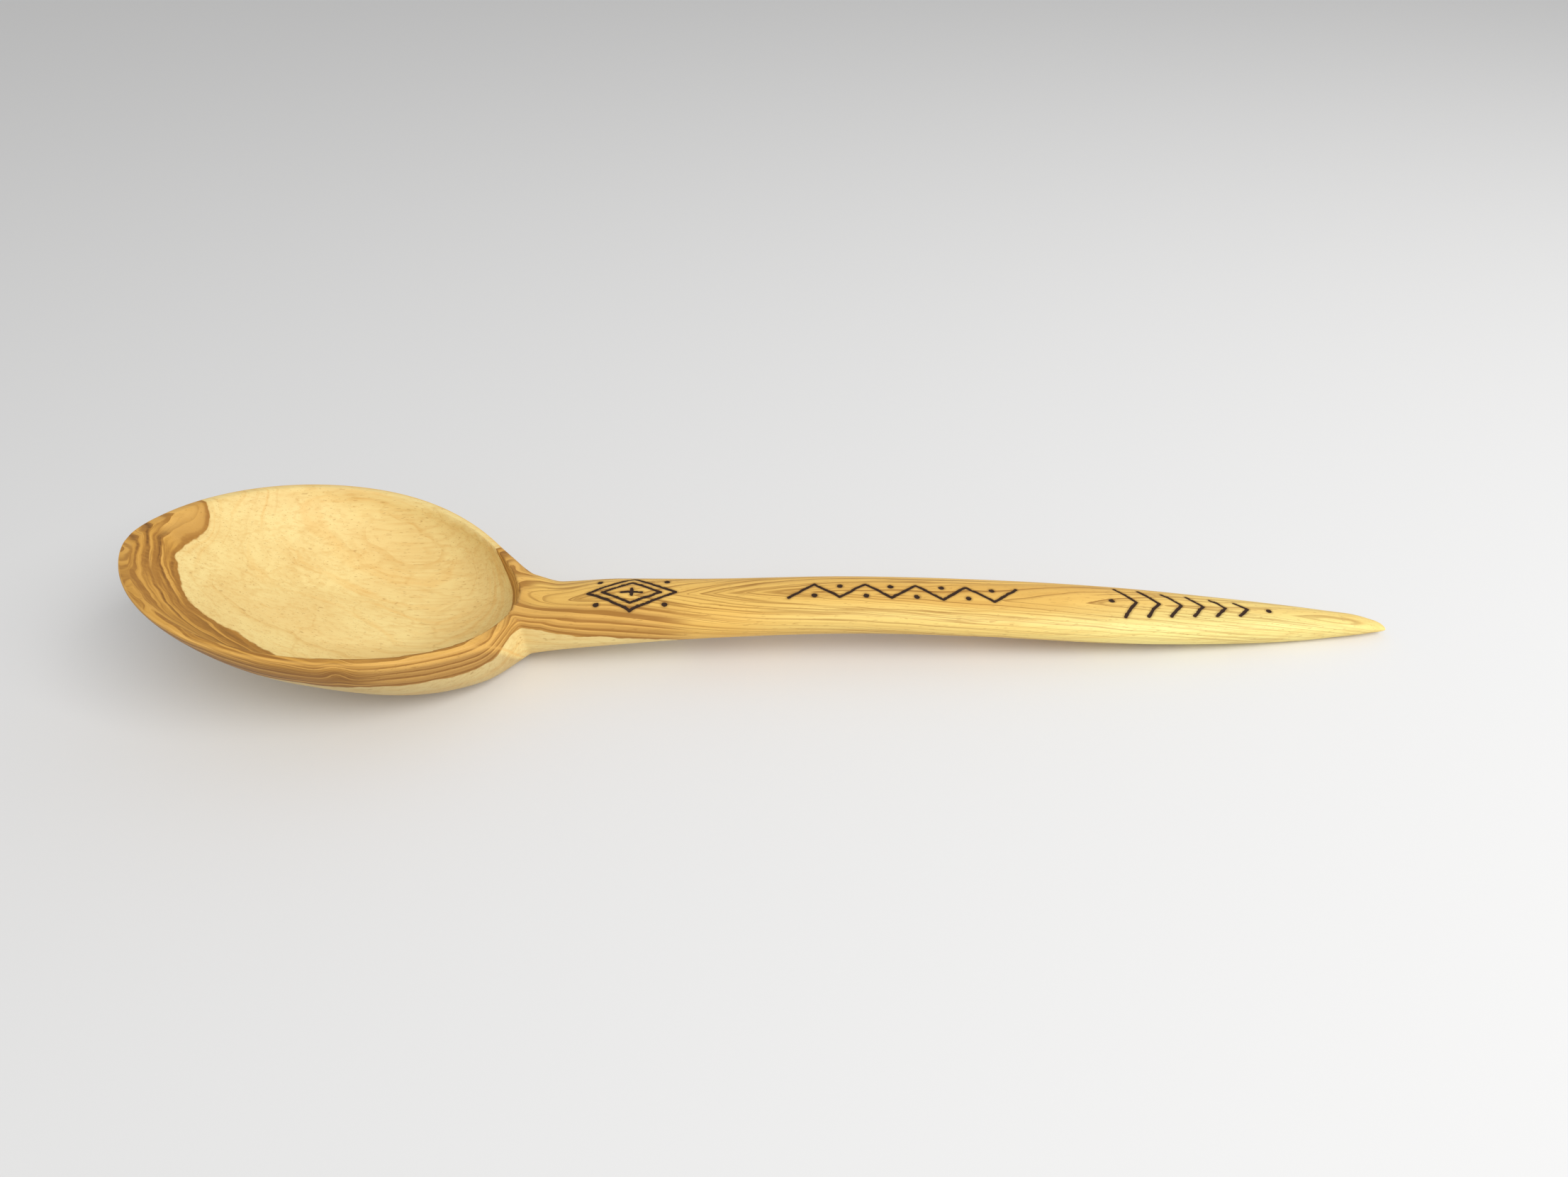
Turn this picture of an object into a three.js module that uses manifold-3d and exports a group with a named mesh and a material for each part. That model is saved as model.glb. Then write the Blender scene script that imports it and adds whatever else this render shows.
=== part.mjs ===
// Carved wooden serving spoon, in millimetres: X runs from the bowl tip to the handle tip, +Z is up.
// The spoon is one piece of wood; it is lofted whole, hollowed, and then parted at the two ends of the neck.
import * as THREE from "three";
import { mergeVertices } from "three/addons/utils/BufferGeometryUtils.js";
import Module from "manifold-3d";

// Overall length, and the length of it that the bowl takes
const LENGTH = 318;
const BOWL_LENGTH = 94.7;

// Plan outline of the bowl, whose hand-cut sides draw in a little differently toward the neck
const BOWL_HALF_WIDTH = 35.5;
const BOWL_WIDEST_AT = 47;
const BOWL_TIP_POINTEDNESS = 0.565;
const BOWL_REAR_BEND = 2.1;
const LEFT_SIDE = { rear: 0.65, fillet: 5 };
const RIGHT_SIDE = { rear: 0.455, fillet: 6.6 };
const TIP_LEAN = 1.7;

// Side view of the bowl
const RIM_HEIGHT_AT_TIP = 36.7;
const RIM_HEIGHT_AT_NECK = 18.4;
const RIM_BOW = 1.2;
const RIM_CROWN = 0.4;
const UNDERSIDE_REACH = 77;
const UNDERSIDE_POWER = 1.9;
const FLAT_CUT = 0.35;

// Hollow of the bowl
const RIM_WIDTH = 2.2;
const TIP_LAND = 2.4;
const NECK_LAND = 2;
const HOLLOW_DEEPEST_AT = 56;
const FLOOR_THICKNESS = 5;
const HOLLOW_HEADROOM = 8;
const HOLLOW_FRONT = { bend: 2, rise: 1.15 };
const HOLLOW_REAR = { bend: 2, rise: 0.6 };
const HOLLOW_SLOPE_AT_TIP = 1;
const HOLLOW_SLOPE_AT_DEEPEST = 0.5;

// Where the bowl's section gives way to the handle's, before and after the end of the bowl
const BLEND_BEFORE = 3.5;
const BLEND_AFTER = 22.5;

// Sections of the handle: share of the handle's length, half width, top height, underside height
const HANDLE_SECTIONS = [
  [-0.04, 9.9, 17.2, -FLAT_CUT],
  [0.03, 9.9, 17.4, 3],
  [0.1, 9.8, 18.3, 4.9],
  [0.21, 9.35, 17.95, 6.8],
  [0.365, 9.1, 18, 7.4],
  [0.52, 9.5, 15.8, 5.95],
  [0.675, 9.3, 12.7, 2.7],
  [0.81, 7.1, 9.45, 0.6],
  [0.89, 4.65, 7.5, -0.12],
  [0.945, 2.65, 5.7, 0.6],
  [0.982, 1.45, 4.6, 1.2],
];
const TIP_ROUNDING = 11;
const TIP_HEIGHT = 1.4;
const EDGE_SHARE = 0.56;

// How full each section is: 2 is an ellipse, more is squarer
const BOWL_FULLNESS_AT_TIP = 1.6;
const BOWL_FULLNESS_AT_WIDEST = 1.95;
const BOWL_FULLNESS_AT_NECK = 2.55;
const HANDLE_TOP_FULLNESS = 2.5;
const HANDLE_UNDER_FULLNESS = 2.2;

// Planes that part the spoon, as distances past the end of the bowl
const NECK_START = 7.5;
const NECK_END = 30.5;

// Facets
const RING_POINTS = 28;
const BOWL_STATIONS = 30;
const NECK_STATIONS = 9;
const HANDLE_STATIONS = 22;
const HOLLOW_STATIONS = 26;

// Lengths that follow from these
const HANDLE_LENGTH = LENGTH - BOWL_LENGTH;
const HOLLOW_START = TIP_LAND;
const HOLLOW_END = BOWL_LENGTH - NECK_LAND;
const BLEND_START = BOWL_LENGTH - BLEND_BEFORE;
const BLEND_END = BOWL_LENGTH + BLEND_AFTER;
const TIP_START = LENGTH - TIP_ROUNDING;

const smoothStep = (value, from, to) => {
  const share = THREE.MathUtils.clamp((value - from) / (to - from), 0, 1);
  return share * share * (3 - 2 * share);
};

const smoothMax = (a, b, radius) => {
  const share = THREE.MathUtils.clamp(0.5 + (0.5 * (a - b)) / radius, 0, 1);
  return b + (a - b) * share + radius * share * (1 - share);
};

// A smooth curve through one column of the handle sections, level beyond its ends.
function alongHandle(at, column) {
  const rows = HANDLE_SECTIONS;
  const last = rows.length - 1;
  const share = THREE.MathUtils.clamp((at - BOWL_LENGTH) / HANDLE_LENGTH, rows[0][0], rows[last][0]);
  const i = Math.min(rows.findLastIndex((row) => row[0] <= share), last - 1);
  const slope = (k) => {
    const before = rows[Math.max(k - 1, 0)];
    const after = rows[Math.min(k + 1, last)];
    return (after[column] - before[column]) / (after[0] - before[0]);
  };
  const span = rows[i + 1][0] - rows[i][0];
  const t = (share - rows[i][0]) / span;
  const [p0, p1] = [rows[i][column], rows[i + 1][column]];
  const [m0, m1] = [slope(i) * span, slope(i + 1) * span];
  const t2 = t * t;
  const t3 = t2 * t;
  return (2 * t3 - 3 * t2 + 1) * p0 + (t3 - 2 * t2 + t) * m0 + (3 * t2 - 2 * t3) * p1 + (t3 - t2) * m1;
}

// Half the width of an almond outline, widest at one place, that closes at its start and its end.
function almond(at, half, start, end, rear) {
  const t = (at - BOWL_WIDEST_AT) / ((at < BOWL_WIDEST_AT ? start : end) - BOWL_WIDEST_AT);
  if (at < BOWL_WIDEST_AT) return half * (1 - t * t) ** BOWL_TIP_POINTEDNESS;
  return half * (1 - Math.min(t, 1) ** BOWL_REAR_BEND) ** rear;
}

const tipShare = (at) => Math.sqrt(Math.max(1 - (Math.max(at - TIP_START, 0) / TIP_ROUNDING) ** 2, 0));

function halfWidth(at, side) {
  const bowl = almond(at, BOWL_HALF_WIDTH, 0, BOWL_LENGTH, side.rear);
  if (at < BOWL_WIDEST_AT) return bowl;
  return smoothMax(bowl, alongHandle(at, 1), side.fillet) * tipShare(at);
}

// The front of the bowl leans a little to one side.
const lean = (at) => TIP_LEAN * Math.max(1 - at / BOWL_WIDEST_AT, 0) ** 2;

function rimHeight(at) {
  const share = at / BOWL_LENGTH;
  const bow = 4 * RIM_BOW * Math.max(share * (1 - share), 0);
  return THREE.MathUtils.lerp(RIM_HEIGHT_AT_TIP, RIM_HEIGHT_AT_NECK, share) + bow;
}

// The bowl's underside falls from the tip in one curve and meets the level stretch that is sanded flat.
const underBowl = (at) => {
  const share = Math.max(1 - at / UNDERSIDE_REACH, 0);
  return (RIM_HEIGHT_AT_TIP + FLAT_CUT) * share ** UNDERSIDE_POWER - FLAT_CUT;
};

// Heights of one section: its edge, its top and its underside.
function heights(at) {
  const { lerp } = THREE.MathUtils;
  const blend = smoothStep(at, BLEND_START, BLEND_END);
  const rim = rimHeight(at);
  const top = alongHandle(at, 2);
  const under = at < UNDERSIDE_REACH ? underBowl(at) : alongHandle(at, 3);
  const edge = lerp(rim, lerp(under, top, EDGE_SHARE), blend);
  const crown = lerp(rim + RIM_CROWN, top, blend);
  return [edge, crown, under].map((height) => lerp(TIP_HEIGHT, height, tipShare(at)));
}

function fullness(at) {
  const { lerp } = THREE.MathUtils;
  const front = lerp(BOWL_FULLNESS_AT_TIP, BOWL_FULLNESS_AT_WIDEST, smoothStep(at, 0, BOWL_WIDEST_AT));
  const bowl = lerp(front, BOWL_FULLNESS_AT_NECK, smoothStep(at, BOWL_WIDEST_AT, BOWL_LENGTH));
  return lerp(bowl, HANDLE_UNDER_FULLNESS, smoothStep(at, BLEND_START, BLEND_END));
}

// One ring of the outside, anticlockwise seen from the handle end.
function outerRing(at) {
  const [left, right] = [LEFT_SIDE, RIGHT_SIDE].map((side) => halfWidth(at, side));
  const [edge, top, under] = heights(at);
  const underFullness = fullness(at);
  return Array.from({ length: RING_POINTS }, (_, k) => {
    const angle = (2 * Math.PI * k) / RING_POINTS;
    const [c, s] = [Math.cos(angle), Math.sin(angle)];
    const power = s >= 0 ? HANDLE_TOP_FULLNESS : underFullness;
    const y = (c > 0 ? left : -right) * Math.abs(c) ** (2 / power) + lean(at);
    const lift = Math.abs(s) ** (2 / power);
    const z = s >= 0 ? edge + (top - edge) * lift : edge - (edge - under) * lift;
    return new THREE.Vector3(at - LENGTH / 2, y, z);
  });
}

function hollowDepth(at) {
  const front = at < HOLLOW_DEEPEST_AT;
  const { bend, rise } = front ? HOLLOW_FRONT : HOLLOW_REAR;
  const edge = front ? HOLLOW_START : HOLLOW_END;
  const t = Math.min((at - HOLLOW_DEEPEST_AT) / (edge - HOLLOW_DEEPEST_AT), 1);
  const depth = rimHeight(HOLLOW_DEEPEST_AT) - underBowl(HOLLOW_DEEPEST_AT) - FLOOR_THICKNESS;
  return depth * (1 - t ** bend) ** rise;
}

// One ring of the tool that hollows the bowl: the floor below the rim, straight sides above it.
// Its plan has the bowl's curves, one rim width inside them, and its sides steepen toward the deepest place.
function hollowRing(at) {
  const [left, right] = [LEFT_SIDE, RIGHT_SIDE].map(({ rear }) => {
    return Math.max(almond(at, BOWL_HALF_WIDTH - RIM_WIDTH, HOLLOW_START, HOLLOW_END, rear), 0.2);
  });
  const depth = Math.max(hollowDepth(at), 0.1);
  const rim = rimHeight(at);
  const steepening = smoothStep(at, HOLLOW_START, HOLLOW_DEEPEST_AT);
  const slope = THREE.MathUtils.lerp(HOLLOW_SLOPE_AT_TIP, HOLLOW_SLOPE_AT_DEEPEST, steepening);
  const floor = Array.from({ length: RING_POINTS / 2 + 1 }, (_, k) => {
    const angle = Math.PI + (Math.PI * k) / (RING_POINTS / 2);
    const [c, s] = [Math.cos(angle), Math.sin(angle)];
    const y = (c > 0 ? left : right) * c + lean(at);
    return new THREE.Vector3(at - LENGTH / 2, y, rim - depth * Math.abs(s) ** (2 * slope));
  });
  const lid = [left, -right].map((y) => {
    return new THREE.Vector3(at - LENGTH / 2, y + lean(at), rim + HOLLOW_HEADROOM);
  });
  return [...floor, ...lid];
}

// A closed skin over a row of rings, its ends drawn to a point each.
function loft(rings, firstPole, lastPole) {
  const count = rings[0].length;
  const points = [...rings.flat(), firstPole, lastPole];
  const first = rings.length * count;
  const last = first + 1;
  const faces = [];
  for (let k = 0; k < count; k += 1) {
    const next = (k + 1) % count;
    faces.push(first, next, k);
    faces.push(last, first - count + k, first - count + next);
    for (let r = 0; r < rings.length - 1; r += 1) {
      const [a, b] = [r * count + k, r * count + next];
      faces.push(a, b, a + count, b, b + count, a + count);
    }
  }
  return new THREE.BufferGeometry().setFromPoints(points).setIndex(faces);
}

// Stations evenly spread along a stretch, or bunched toward both of its ends.
const spread = (from, to, count) => {
  return Array.from({ length: count + 1 }, (_, k) => from + ((to - from) * k) / count);
};
const bunched = (from, to, count) => {
  return spread(0, Math.PI, count).map((angle) => from + ((to - from) * (1 - Math.cos(angle))) / 2);
};

const wasm = await Module();
wasm.setup();

function toSolid(geometry) {
  const merged = mergeVertices(geometry, 1e-4);
  const triVerts = new Uint32Array(merged.index.array);
  const vertProperties = new Float32Array(merged.attributes.position.array);
  return new wasm.Manifold(new wasm.Mesh({ numProp: 3, vertProperties, triVerts }));
}

function toGeometry(solid) {
  const mesh = solid.getMesh();
  const geometry = new THREE.BufferGeometry();
  geometry.setAttribute("position", new THREE.BufferAttribute(Float32Array.from(mesh.vertProperties), 3));
  geometry.setIndex(new THREE.BufferAttribute(Uint32Array.from(mesh.triVerts), 1));
  geometry.computeVertexNormals();
  return geometry;
}

// Outside of the whole spoon
const handleStart = BOWL_LENGTH + NECK_END;
const outerStations = [
  ...bunched(0, BLEND_START, BOWL_STATIONS).slice(1),
  ...spread(BLEND_START, handleStart, NECK_STATIONS).slice(1),
  ...spread(handleStart, TIP_START, HANDLE_STATIONS).slice(1),
  LENGTH - TIP_ROUNDING * 0.5,
  LENGTH - TIP_ROUNDING * 0.15,
];
const bowlTip = new THREE.Vector3(-LENGTH / 2, TIP_LEAN, RIM_HEIGHT_AT_TIP);
const handleTip = new THREE.Vector3(LENGTH / 2, 0, TIP_HEIGHT);
const outside = toSolid(loft(outerStations.map(outerRing), bowlTip, handleTip));

// Hollow of the bowl
const hollowStations = bunched(HOLLOW_START, HOLLOW_END, HOLLOW_STATIONS);
const hollowEnd = (at) => new THREE.Vector3(at - LENGTH / 2, lean(at), rimHeight(at) + HOLLOW_HEADROOM / 2);
const hollow = toSolid(loft(hollowStations.map(hollowRing), hollowEnd(HOLLOW_START), hollowEnd(HOLLOW_END)));
const spoon = outside.subtract(hollow);

// A block that keeps the spoon between two stations and above the level it rests on.
function between(from, to) {
  const block = new THREE.BoxGeometry(to - from, LENGTH, LENGTH);
  block.translate((from + to - LENGTH) / 2, 0, LENGTH / 2);
  block.deleteAttribute("normal");
  block.deleteAttribute("uv");
  return toSolid(block);
}

// Stretches of the spoon, each with its wood's colour
const PIECES = [
  { name: "bowl", from: -1, to: BOWL_LENGTH + NECK_START, color: 0xd8b466 },
  { name: "neck", from: BOWL_LENGTH + NECK_START, to: handleStart, color: 0xcf9f4e },
  { name: "handle", from: handleStart, to: LENGTH + 1, color: 0xc8953f },
];

const root = new THREE.Group();
root.name = "serving_spoon";
for (const { name, from, to, color } of PIECES) {
  const material = new THREE.MeshStandardMaterial({ color, roughness: 0.5, metalness: 0 });
  const mesh = new THREE.Mesh(toGeometry(spoon.intersect(between(from, to))), material);
  mesh.name = name;
  root.add(mesh);
}

export default root;
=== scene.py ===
"""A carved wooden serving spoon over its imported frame: carving, grain, burnt ornament and studio."""

import math

import bpy
import numpy as np
from mathutils import Matrix, Vector


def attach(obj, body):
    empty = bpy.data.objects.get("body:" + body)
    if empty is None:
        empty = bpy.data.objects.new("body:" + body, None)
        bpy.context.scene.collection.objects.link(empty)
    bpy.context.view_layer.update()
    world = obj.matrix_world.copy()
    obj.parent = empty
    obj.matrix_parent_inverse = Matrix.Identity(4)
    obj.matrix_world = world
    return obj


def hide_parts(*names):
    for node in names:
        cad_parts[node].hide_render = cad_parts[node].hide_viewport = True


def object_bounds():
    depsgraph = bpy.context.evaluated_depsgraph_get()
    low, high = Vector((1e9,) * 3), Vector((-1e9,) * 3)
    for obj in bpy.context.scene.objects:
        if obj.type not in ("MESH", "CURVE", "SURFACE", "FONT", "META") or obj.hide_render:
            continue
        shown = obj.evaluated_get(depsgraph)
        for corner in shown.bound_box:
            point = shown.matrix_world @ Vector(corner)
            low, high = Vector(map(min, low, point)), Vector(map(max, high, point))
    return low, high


bl_info = {
    "name": "Carved Serving Spoon",
    "version": (1, 0, 0),
    "blender": (4, 5, 0),
    "location": "View3D > Sidebar > Spoon",
    "description": "Carves a wooden serving spoon, burns an ornament into it and lights it in a studio",
    "category": "Add Mesh",
}

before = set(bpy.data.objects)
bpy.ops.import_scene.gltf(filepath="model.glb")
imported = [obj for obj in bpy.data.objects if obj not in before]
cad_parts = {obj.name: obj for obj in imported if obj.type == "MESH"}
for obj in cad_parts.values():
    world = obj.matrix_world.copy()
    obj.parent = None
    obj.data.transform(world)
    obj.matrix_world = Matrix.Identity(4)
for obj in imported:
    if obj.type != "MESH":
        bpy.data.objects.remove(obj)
CAD_LOW, CAD_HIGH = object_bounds()

# One millimetre in metres.
MM = 0.001

BODY = "root"
SPOON = "spoon"

# Values stored on the mesh for the wood, and for the painted light and shade on it, to follow.
GROWTH = "growth"
FADE_AND_PAINTED_LIGHT = "fade"
BURN = "burn"
BELOW_RIM = "below_rim"

# Length in millimetres that the stations and the ornament are laid out for.
LAID_OUT_LENGTH = 318.0

# Distance in millimetres from a burnt line at which the wood is untouched.
UNBURNT = 3.0

# Sections of the handle in millimetres: share of its length, half width, top height, underside height.
HANDLE_SECTIONS = np.array(
    [
        (-0.04, 9.9, 18.3, -0.35),
        (0.03, 10.1, 18.9, 3.2),
        (0.1, 9.8, 18.6, 5.0),
        (0.21, 9.35, 17.95, 6.8),
        (0.365, 9.1, 18.0, 7.4),
        (0.52, 9.5, 15.8, 5.95),
        (0.675, 9.3, 12.7, 2.7),
        (0.81, 7.1, 9.45, 0.6),
        (0.89, 4.65, 7.5, -0.12),
        (0.945, 2.65, 5.7, 0.6),
        (0.982, 1.45, 4.6, 1.2),
    ]
)

# How each side of the bowl draws in toward the neck: power of its curve, rounding of the corner in mm,
# and how far before and past the bowl's end, in mm, its edge turns into the handle's.
FAR_SIDE = (0.72, 10.0, 6.6, 7.6)
NEAR_SIDE = (0.455, 6.6, 3.5, 22.5)

# Stations along the spoon in millimetres from the bowl's tip: where a stretch ends, and the step within it.
STATION_STEPS = (
    (1.2, 0.12),
    (10.0, 0.4),
    (84.0, 0.8),
    (105.0, 0.6),
    (136.0, 0.36),
    (154.0, 0.9),
    (226.0, 0.36),
    (238.0, 0.9),
    (288.0, 0.36),
    (306.0, 0.8),
    (314.0, 0.5),
    (317.2, 0.25),
    (317.85, 0.1),
)

# Spans round a section, over its top and along its underside.
TOP_SPANS = 88
UNDER_SPANS = 56


class SpoonShape(bpy.types.PropertyGroup):
    """Sizes of the carving"""

    length: bpy.props.FloatProperty(
        name="Length",
        description="From the bowl's tip to the handle's tip",
        default=CAD_HIGH[0] - CAD_LOW[0],
        unit="LENGTH",
    )
    bowl_length: bpy.props.FloatProperty(
        name="Bowl length",
        description="From the tip to the end of the bowl's outline",
        default=0.0947,
        unit="LENGTH",
    )
    bowl_width: bpy.props.FloatProperty(
        name="Bowl width",
        description="Across the bowl at its widest",
        default=CAD_HIGH[1] - CAD_LOW[1],
        unit="LENGTH",
    )
    widest_at: bpy.props.FloatProperty(
        name="Widest at",
        description="From the tip to the widest place",
        default=0.047,
        unit="LENGTH",
    )
    tip_lean: bpy.props.FloatProperty(
        name="Tip lean",
        description="How far the bowl's tip lies to the far side of the middle",
        default=0.0017,
        unit="LENGTH",
    )
    rim_at_tip: bpy.props.FloatProperty(
        name="Rim at tip",
        description="Height of the rim at the bowl's tip",
        default=0.0367,
        unit="LENGTH",
    )
    rim_at_neck: bpy.props.FloatProperty(
        name="Rim at neck",
        description="Height of the rim at the end of the bowl",
        default=0.0184,
        unit="LENGTH",
    )
    rim_bow: bpy.props.FloatProperty(
        name="Rim bow",
        description="How far the rim's middle rises above a straight line from end to end",
        default=0.0012,
        unit="LENGTH",
    )
    rim_width: bpy.props.FloatProperty(
        name="Rim width",
        description="Thickness of the wall at the rim",
        default=0.0022,
        unit="LENGTH",
    )
    rim_round: bpy.props.FloatProperty(
        name="Rim rounding",
        description="How far the outer edge lies below the rim's crest",
        default=0.0009,
        unit="LENGTH",
    )
    floor_thickness: bpy.props.FloatProperty(
        name="Floor thickness",
        description="Wood left under the deepest place",
        default=0.005,
        unit="LENGTH",
    )


class SpoonWood(bpy.types.PropertyGroup):
    """Colours and finish of the olive wood"""

    sap_pale: bpy.props.FloatVectorProperty(
        name="Pale sapwood",
        description="Lighter colour of the sapwood in the bowl",
        default=(0.9, 0.71, 0.3),
        subtype="COLOR",
        min=0.0,
        max=1.0,
    )
    sap_deep: bpy.props.FloatVectorProperty(
        name="Deep sapwood",
        description="Darker colour of the sapwood in the bowl",
        default=(0.84, 0.62, 0.245),
        subtype="COLOR",
        min=0.0,
        max=1.0,
    )
    heart_dark: bpy.props.FloatVectorProperty(
        name="Dark heartwood",
        description="Darkest bands of the heartwood",
        default=(0.17, 0.068, 0.011),
        subtype="COLOR",
        min=0.0,
        max=1.0,
    )
    heart_brown: bpy.props.FloatVectorProperty(
        name="Brown heartwood",
        description="Brown bands of the heartwood",
        default=(0.38, 0.17, 0.028),
        subtype="COLOR",
        min=0.0,
        max=1.0,
    )
    heart_gold: bpy.props.FloatVectorProperty(
        name="Golden heartwood",
        description="Golden bands of the heartwood",
        default=(0.64, 0.33, 0.06),
        subtype="COLOR",
        min=0.0,
        max=1.0,
    )
    # Also the colour of the painted highlight along the rim's crest.
    light_heart_and_highlight: bpy.props.FloatVectorProperty(
        name="Light heartwood",
        description="Lightest bands of the heartwood",
        default=(0.82, 0.47, 0.12),
        subtype="COLOR",
        min=0.0,
        max=1.0,
    )
    handle_gold: bpy.props.FloatVectorProperty(
        name="Golden handle",
        description="Colour that the heartwood fades to along the handle",
        default=(0.93, 0.585, 0.145),
        subtype="COLOR",
        min=0.0,
        max=1.0,
    )
    # Partly the wood's pale colour toward the handle's tip, partly painted highlight there and painted
    # light on the near side.
    pale_handle_and_highlight: bpy.props.FloatVectorProperty(
        name="Pale handle",
        description="Colour that the heartwood fades to toward the handle's tip",
        default=(0.96, 0.83, 0.31),
        subtype="COLOR",
        min=0.0,
        max=1.0,
    )
    # Painted shade: this tint darkens the bowl's outer wall and underside.
    outside: bpy.props.FloatVectorProperty(
        name="Outside tint",
        description="What the colours outside the bowl are multiplied by",
        default=(0.75, 0.73, 0.77),
        subtype="COLOR",
        min=0.0,
        max=1.0,
    )
    char: bpy.props.FloatVectorProperty(
        name="Char",
        description="Colour of the burnt lines",
        default=(0.038, 0.017, 0.008),
        subtype="COLOR",
        min=0.0,
        max=1.0,
    )
    roughness: bpy.props.FloatProperty(
        name="Roughness",
        description="How dull the oiled surface is",
        default=0.5,
        min=0.0,
        max=1.0,
        subtype="FACTOR",
    )


class SpoonOrnament(bpy.types.PropertyGroup):
    """Sizes of the burnt ornament on the handle"""

    line_width: bpy.props.FloatProperty(
        name="Line width",
        description="Width of a burnt line",
        default=0.00085,
        unit="LENGTH",
    )
    line_depth: bpy.props.FloatProperty(
        name="Line depth",
        description="How deep the hot pen sinks in",
        default=0.00022,
        unit="LENGTH",
    )
    lozenge_at: bpy.props.FloatProperty(
        name="Lozenge at",
        description="From the bowl's tip to the middle of the lozenge",
        default=0.1212,
        unit="LENGTH",
    )
    zigzag_start: bpy.props.FloatProperty(
        name="Zigzag start",
        description="From the bowl's tip to the start of the zigzag",
        default=0.161,
        unit="LENGTH",
    )
    zigzag_end: bpy.props.FloatProperty(
        name="Zigzag end",
        description="From the bowl's tip to the end of the zigzag",
        default=0.2195,
        unit="LENGTH",
    )
    chevrons_at: bpy.props.FloatProperty(
        name="Chevrons at",
        description="From the bowl's tip to the first chevron",
        default=0.246,
        unit="LENGTH",
    )


class SpoonStudio(bpy.types.PropertyGroup):
    """Floor and light of the studio"""

    floor: bpy.props.FloatVectorProperty(
        name="Floor",
        description="Colour of the pale floor",
        default=(0.8, 0.798, 0.795),
        subtype="COLOR",
        min=0.0,
        max=1.0,
    )
    soft_box_power: bpy.props.FloatProperty(
        name="Soft box",
        description="Power of the large lamp above the handle",
        default=9.4,
        unit="POWER",
    )
    room_light: bpy.props.FloatProperty(
        name="Room light",
        description="Strength of the even light from all round",
        default=0.545,
    )


def smooth_step(value, start, end):
    share = np.clip((value - start) / (end - start), 0.0, 1.0)
    return share * share * (3.0 - 2.0 * share)


def smooth_max(a, b, radius):
    share = np.clip(0.5 + 0.5 * (a - b) / radius, 0.0, 1.0)
    return b + (a - b) * share + radius * share * (1.0 - share)


def smooth_min(a, b, radius):
    return -smooth_max(-a, -b, radius)


def rise(value, height, start, end):
    """A smooth rise from nothing at the start to a height at the end."""
    return height * smooth_step(value, start, end)


def hill(at, across, height, middle, reach):
    """A smooth hill over one place along and across."""
    return height * np.exp(-(((at - middle[0]) / reach[0]) ** 2) - ((across - middle[1]) / reach[1]) ** 2)


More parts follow.
